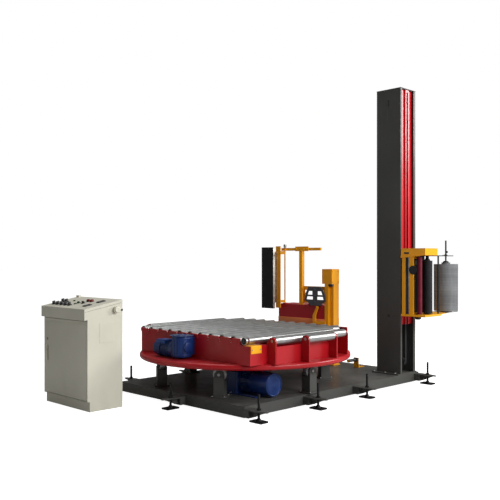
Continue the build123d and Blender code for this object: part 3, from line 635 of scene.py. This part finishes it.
# ------------------------------------------------------------------- mast
def mast_details():
    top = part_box("mast_column")[1].z
    cap = block((MAST_X - 0.002, MAST_Y[0] - 0.002, top - 0.006), (1.607, MAST_Y[1] + 0.002, top - 0.0002))
    step(cap, "+Z", 0.006, -0.001)
    fit(soften(cap, 0.002, 3), "mast_cap", "base", charcoal)
    mid_y = sum(MAST_Y) / 2
    # A black block in the slot near the mast's top: painted shade inside the slot.
    slot = block((MAST_X - 0.0015, mid_y - 0.008, top - 0.171), (MAST_X + 0.003, mid_y + 0.008, top - 0.111))
    fit(soften(slot, 0.001), "mast_slot_painted_shade", "base", black_plastic)
    large = drum((MAST_X + 0.001, -0.699, 0.689), 0.014, 0.003, "-X", 32)
    step(large, "-X", 0.004, -0.001)
    small = drum((MAST_X + 0.001, -0.758, 0.689), 0.006, 0.002, "-X", 20)
    step(small, "-X", 0.002, 0.001)
    fit(soften(join([large, small]), 0.0005, 1), "mast_plugs", "base", black_plastic)
    guide_low, guide_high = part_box("mast_guide")
    mid = (guide_low.x + guide_high.x) / 2
    # A lighter red strip down the middle of the guide's face: painted highlight where the light falls.
    strip = block((mid - 0.014, guide_low.y, guide_low.z),
                  (mid + 0.014, guide_low.y + 0.003, guide_high.z - 0.02))
    fit(soften(strip, 0.0008, 1), "lift_guide_highlight", "base", guide_highlight_red)
    rails = [block((x, guide_low.y + 0.012, 0.117), (x + 0.010, guide_low.y + 0.018, guide_low.z))
             for x in (1.380, 1.554)]
    fit(soften(join(rails), 0.001), "lower_rails", "base", soot)
    pulley = drum((mid - 0.02, -0.76, 0.22), 0.045, 0.04, "+X", 40)
    step(pulley, "+X", 0.012, -0.006)
    fit(soften(pulley, 0.002), "belt_pulley", "base", soot)
    run = block((mid - 0.012, -0.812, 0.22), (mid + 0.012, -0.806, guide_low.z + 0.01))
    fit(soften(run, 0.0008, 1), "lift_belt", "base", black_rubber)


# --------------------------------------------------------------- carriage
def carriage_details():
    # A black block in the head's oblong hole: painted shade inside the hole.
    slot = block((1.3375, -0.934, 1.309), (1.343, -0.876, 1.327))
    fit(soften(slot, 0.004, 3), "head_slot_painted_shade", "carriage", black_plastic)
    posts_low, posts_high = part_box("carriage_posts")
    # A dark sheet set in the gap between the carriage posts: painted shade where the gap lies in shadow.
    shade = block((1.3400, -0.9260, posts_low.z + 0.002), (1.3440, -0.8935, posts_high.z - 0.002))
    step(shade, "-X", 0.004, -0.001)
    fit(soften(shade, 0.0008), "post_gap_painted_shade", "carriage", black_plastic)
    strip = block((1.3385, -0.9385, posts_low.z + 0.004), (1.3440, -0.9255, posts_high.z - 0.004))
    fit(soften(strip, 0.001), "post_gap_strip", "carriage", bare_alloy)
    cover = block((1.3560, -0.9925, posts_low.z + 0.022), (1.4100, -0.9815, posts_high.z - 0.034))
    step(cover, "-Y", 0.005, 0.001)
    fit(soften(cover, 0.001), "post_cover", "carriage", soot)
    floor_low, floor_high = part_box("carriage_floor")
    end = drum((1.420, -0.985, floor_low.z), 0.030, 0.026, "-Z", 40)
    step(end, "-Z", 0.008, 0.006)
    fit(soften(end, 0.002), "drive_end_bearing", "carriage", soot)
    strip = block((1.66, -1.085, floor_high.z - 0.001), (2.02, -1.078, floor_high.z + 0.003))
    step(strip, "+Z", 0.002, 0.001)
    fit(soften(strip, 0.001, 1), "floor_edge_strip", "carriage", soot)
    arm_bolts = [(1.60, -1.06, ARM_TOP), (1.60, -0.96, ARM_TOP), (1.90, -0.985, ARM_TOP)]
    bolts("arm_bolts", "carriage", "+Z", arm_bolts, 0.008)


def film_details():
    low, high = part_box("film_roll")
    x, y = (low.x + high.x) / 2, (low.y + high.y) / 2
    roll_top = high.z - 0.017
    core = drum((x, y, roll_top - 0.001), 0.0405, 0.004, "+Z", 64)
    step(core, "+Z", 0.003, -0.001)
    fit(soften(core, 0.0006, 1), "film_core", "film_roll", board)
    hub = drum((x, y, high.z - 0.002), 0.030, 0.012, "+Z", 48)
    step(hub, "+Z", 0.008, 0.006)
    fit(soften(hub, 0.001), "core_plug", "film_roll", soot)
    knob = drum((x, y, ARM_TOP), 0.016, 0.010, "+Z", 32)
    step(knob, "+Z", 0.004, 0.004)
    fit(soften(knob, 0.001), "spindle_nut", "carriage", soot)


# -------------------------------------------------------------- clamp unit
def clamp_details():
    bed = block((1.3405, 0.1365, 0.5345), (1.6015, 0.8145, 0.6012))
    step(bed, "-X", 0.004, 0.001)
    fit(soften(bed, 0.002, 2), "clamp_bed", "base", bed_brown)
    jaw = block((1.3460, 0.0360, 0.9640), (1.3815, 0.0865, 0.9885))
    step(jaw, "-Z", 0.008, 0.006)
    fit(soften(jaw, 0.003), "clamp_jaw_block", "base", black_plastic)
    nut = drum((1.344, 0.715, 1.3835), 0.015, 0.016, "+Z", 6)
    washer = drum((1.344, 0.715, 1.3955), 0.016, 0.026, "+Z", 32)
    step(washer, "+Z", 0.005, 0.004)
    fit(soften(join([nut, washer]), 0.001), "wiper_shaft_nut", "wiper", bolt_steel)
    edge = block((1.1985, 0.7622, 0.698), (1.2262, 0.7648, 1.389))
    back = block((1.2255, 0.7622, 0.698), (1.2285, 0.9425, 1.389))
    fit(soften(join([edge, back]), 0.0008), "wiper_backing", "wiper", bare_alloy)
    bolts("housing_bolts", "base", "-X", [(1.345, y, 0.72) for y in (0.44, 0.60, 0.78)], 0.006, shaded_red)
    tee_row = [(1.348, y, 1.372) for y in (0.390, 0.440, 0.492, 0.542)]
    bolts("tee_bolts", "base", "-X", tee_row, 0.0065, yellow)
    column_rows = [(x, 0.035, z) for x in (1.36, 1.46) for z in (1.01, 1.125)]
    bolts("column_bolts", "base", "-Y", column_rows, 0.0065, yellow)
    foot = block((1.375, 0.030, 0.105), (1.485, 0.144, 0.117))
    leg_foot = block((1.40, 0.38, 0.105), (1.56, 0.56, 0.117))
    fit(soften(join([foot, leg_foot]), 0.002), "unit_foot_plates", "base", yellow)
    pad_low, pad_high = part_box("wiper_pad")
    strip_face = pad_high.x + 0.005
    strip = block((pad_high.x, 0.770, pad_low.z + 0.06), (strip_face, 0.788, pad_high.z - 0.06))
    fit(soften(strip, 0.001), "wiper_strip", "wiper", bare_alloy)
    rows = [(strip_face, 0.779, pad_low.z + 0.10 + 0.125 * n) for n in range(5)]
    bolts("wiper_strip_bolts", "wiper", "+X", rows, 0.005)
    bracket = block((1.2265, 0.7893, 0.759), (1.2915, 0.8067, 1.341))
    fit(soften(bracket, 0.002), "wiper_bracket", "wiper", bare_alloy)
    hub = drum((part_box("gripper")[0].x, 0.258, 0.79), 0.014, 0.004, "-X", 32)
    step(hub, "-X", 0.004, 0.002)
    hubs = spread(hub, [(0, 0, 0), (0, 0, 0.065), (0, 0, 0.13)])
    fit(soften(hubs, 0.0008), "gripper_rivets", "gripper", graphite)
    boss = drum((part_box("cutter_lever")[0].x, 0.223, 0.727), 0.011, 0.006, "-X", 32)
    step(boss, "-X", 0.003, 0.002)
    fit(soften(boss, 0.001), "lever_pivot_cap", "lever", yellow)


# ---------------------------------------------------------------- console
def panel_slope():
    """How far the sloped panel rises, and over what length."""
    low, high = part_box("control_panel")
    return high.z - PANEL_FRONT_Z, high.x - low.x


def on_panel(piece, x, y):
    """Turn a piece that was made at the origin square to the panel, and set it down at x, y."""
    rise, run = panel_slope()
    piece.rotation_euler = (0, -atan2(rise, run), 0)
    piece.location = (x, y, PANEL_FRONT_Z + (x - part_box("control_panel")[0].x) * (rise / run))
    return settle(piece)


def bezel(radius):
    rim = drum((0, 0, -0.001), radius, 0.005, "+Z", 40)
    step(rim, "+Z", radius * 0.18, -0.002)
    return soften(rim, 0.0008)


def round_knob(radius, height):
    """A switch knob: a skirt, a waist and a raised grip bar."""
    skirt = drum((0, 0, 0.002), radius * 0.92, height * 0.3, "+Z", 40)
    step(skirt, "+Z", radius * 0.12, height * 0.30)
    grip = block((-radius * 0.78, -radius * 0.26, height * 0.5), (radius * 0.78, radius * 0.26, height))
    return join([soften(skirt, 0.0016), soften(grip, 0.002, 3)])


def dome(radius, height):
    """A push button or lamp lens with a rounded cap."""
    cap = drum((0, 0, 0), radius * 0.8, height, "+Z", 40)
    return soften(cap, min(height, radius) * 0.32, 4)


def console_panel():
    """Rows of switches, lamps and two readouts on the sloped panel."""
    first_row = [(-1.493, 0.892 - 0.064 * n) for n in range(5)]
    second_row = [(-1.405, 0.889), (-1.405, 0.830)]
    red_row = [(-1.338, 0.583), (-1.338, 0.530)]
    lamps = [(-1.445, 0.627), (-1.357, 0.780)]
    rims, knobs = [], []
    for x, y in first_row + second_row:
        rims.append(on_panel(bezel(0.020), x, y))
        knobs.append(on_panel(round_knob(0.018, 0.030), x, y))
    reds = []
    for x, y in red_row:
        rims.append(on_panel(bezel(0.019), x, y))
        reds.append(on_panel(dome(0.021, 0.020), x, y))
    lenses = []
    for x, y in lamps:
        rims.append(on_panel(bezel(0.011), x, y))
        lenses.append(on_panel(dome(0.010, 0.009), x, y))
    for x, y in ((-1.405, 0.637), (-1.405, 0.562)):
        collar = drum((0, 0, 0), 0.019, 0.003, "+Z", 40)
        rims.append(on_panel(soften(collar, 0.0008), x, y))
    fit(join(rims), "panel_bezels", "base", black_plastic)
    fit(join(knobs), "panel_switches", "base", black_plastic)
    fit(join(reds), "panel_red_buttons", "base", red_plastic)
    fit(join(lenses), "panel_lamps", "base", green_plastic)
    frames, glasses = [], []
    for x, y in ((-1.466, 0.401), (-1.326, 0.408)):
        case = block((-0.034, -0.021, -0.001), (0.034, 0.021, 0.009))
        step(case, "+Z", 0.005, -0.003)
        frames.append(on_panel(soften(case, 0.001), x, y))
        glass = block((-0.028, -0.0155, 0.005), (0.028, 0.0155, 0.0068))
        glasses.append(on_panel(soften(glass, 0.0006, 1), x, y))
    fit(join(frames), "readout_frames", "base", black_plastic)
    fit(join(glasses), "readout_glasses", "base", screen)


def console_details():
    low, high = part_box("control_panel")
    knob_low, knob_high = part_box("emergency_knob")
    x, z = (knob_low.x + knob_high.x) / 2, (knob_low.z + knob_high.z) / 2
    collar = drum((x, low.y + 0.0005, z), 0.026, 0.007, "-Y", 48)
    step(collar, "-Y", 0.006, -0.002)
    fit(soften(collar, 0.001), "emergency_collar", "base", cream_plastic)
    plug = drum((-1.206, low.y + 0.0005, 0.828), 0.009, 0.006, "-Y", 32)
    step(plug, "-Y", 0.002, 0.002)
    fit(soften(plug, 0.001), "key_switch", "base", black_plastic)
    rise, run = panel_slope()
    # A thin dark strip along the hood's lower side edge: painted shadow under the hood's overhang.
    hood_shadow = block((0, low.y - 0.0008, -0.0012), (run * 0.97, low.y + 0.001, 0.0012))
    hood_shadow.rotation_euler = (0, -atan2(rise, run), 0)
    hood_shadow.location = (low.x + 0.006, 0, PANEL_FRONT_Z - 0.024)
    fit(soften(settle(hood_shadow), 0.0003, 1), "hood_painted_shadow", "base", seam_shadow)
    stub = block((high.x - 0.030, high.y - 0.055, high.z - 0.010),
                 (high.x - 0.002, high.y - 0.010, high.z + 0.012))
    fit(soften(stub, 0.003), "cable_cover", "base", cream)
    cover = block((-1.430, low.y - 0.0012, 0.560), (-1.290, low.y + 0.001, 0.730))
    step(cover, "-Y", 0.004, 0.0008)
    fit(soften(cover, 0.0006, 1), "side_cover", "base", cream)
    door_low, door_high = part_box("console_door")
    face = door_low.x + 0.018
    rim = 0.022
    pressing = block((face - 0.0015, door_low.y + rim, 0.112), (face + 0.002, door_high.y - rim, 0.722))
    step(pressing, "-X", 0.006, 0.0012)
    fit(soften(pressing, 0.001), "door_pressing", "door", cream)
    lock = drum((face - 0.001, 0.909, 0.560), 0.011, 0.005, "-X", 32)
    step(lock, "-X", 0.003, -0.001)
    fit(soften(lock, 0.0008), "door_lock", "door", bolt_steel)
    handle = block((face - 0.0185, 0.8995, 0.3725), (face - 0.0075, 0.9185, 0.5045))
    fit(soften(handle, 0.004, 4), "door_handle_grip", "door", cream_plastic)


# ----------------------------------------------------------- camera and light
def look_at(lamp, target):
    lamp.rotation_euler = (Vector(target) - lamp.location).to_track_quat("-Z", "Y").to_euler()


def area_light(name, location, target, size, power):
    clear_hands()
    bpy.ops.object.light_add(type="AREA", location=location)
    lamp = bpy.context.active_object
    lamp.name = name
    lamp.data.shape = "RECTANGLE"
    lamp.data.size, lamp.data.size_y = size
    lamp.data.energy = power
    look_at(lamp, target)


def studio():
    """A pale floor, white surroundings, a large soft key light, a light on the rollers and weak fills."""
    clear_hands()
    bpy.ops.mesh.primitive_plane_add(size=120, location=(0, 0, -0.0005))
    floor = bpy.context.active_object
    floor.name = "studio_floor"
    paper = bpy.data.materials.new("pale_paper")
    paper.use_nodes = True
    shader = paper.node_tree.nodes["Principled BSDF"]
    shader.inputs["Base Color"].default_value = (0.55, 0.55, 0.55, 1)
    shader.inputs["Roughness"].default_value = 0.9
    shader.inputs["Specular IOR Level"].default_value = 0.1
    shader.inputs["Emission Color"].default_value = (1, 1, 1, 1)
    rays = paper.node_tree.nodes.new("ShaderNodeLightPath")
    dim = paper.node_tree.nodes.new("ShaderNodeMath")
    dim.operation = "MULTIPLY"
    dim.inputs[1].default_value = PAPER_GLOW
    paper.node_tree.links.new(rays.outputs["Is Camera Ray"], dim.inputs[0])
    paper.node_tree.links.new(dim.outputs[0], shader.inputs["Emission Strength"])
    floor.data.materials.append(paper)

    world = bpy.data.worlds.new("studio")
    bpy.context.scene.world = world
    world.use_nodes = True
    tree = world.node_tree
    background = tree.nodes["Background"]
    rays = tree.nodes.new("ShaderNodeLightPath")
    strength = tree.nodes.new("ShaderNodeMapRange")
    strength.inputs["To Min"].default_value = BACKDROP_LIGHT
    strength.inputs["To Max"].default_value = 1.0
    background.inputs["Color"].default_value = (1, 1, 1, 1)
    tree.links.new(rays.outputs["Is Camera Ray"], strength.inputs["Value"])
    tree.links.new(strength.outputs[0], background.inputs["Strength"])

    area_light("key", (0.5, -8.5, 4.4), (0, -0.3, 0.8), (5.0, 3.5), 620)
    area_light("roller_light", (7.0, -5.5, 4.2), (0.2, -0.3, 0.6), (3.0, 2.0), 420)
    area_light("top_fill", (1.5, 1.0, 7.5), (0.3, 0, 0.6), (5.0, 4.0), 230)
    area_light("left_fill", (-7.5, 3.0, 2.5), (-0.5, 0, 0.6), (3.5, 2.5), 25)
    bpy.context.scene.view_settings.view_transform = "Standard"


def camera():
    clear_hands()
    bpy.ops.object.camera_add(location=(-4.815, -4.879, 1.269), rotation=(radians(90), 0, radians(-45)))
    eye = bpy.context.active_object
    eye.name = "main_camera"
    eye.data.sensor_width = 36
    eye.data.lens = 52.34
    eye.data.shift_y = 0.016
    eye.data.clip_end = 200
    bpy.context.scene.camera = eye


camera()
studio()
paint_nodes()
drive_details()
conveyor_gearbox()
roller_caps()
stop_block()
wall_details()
base_details()
mast_details()
carriage_details()
film_details()
clamp_details()
console_panel()
console_details()
clear_hands()
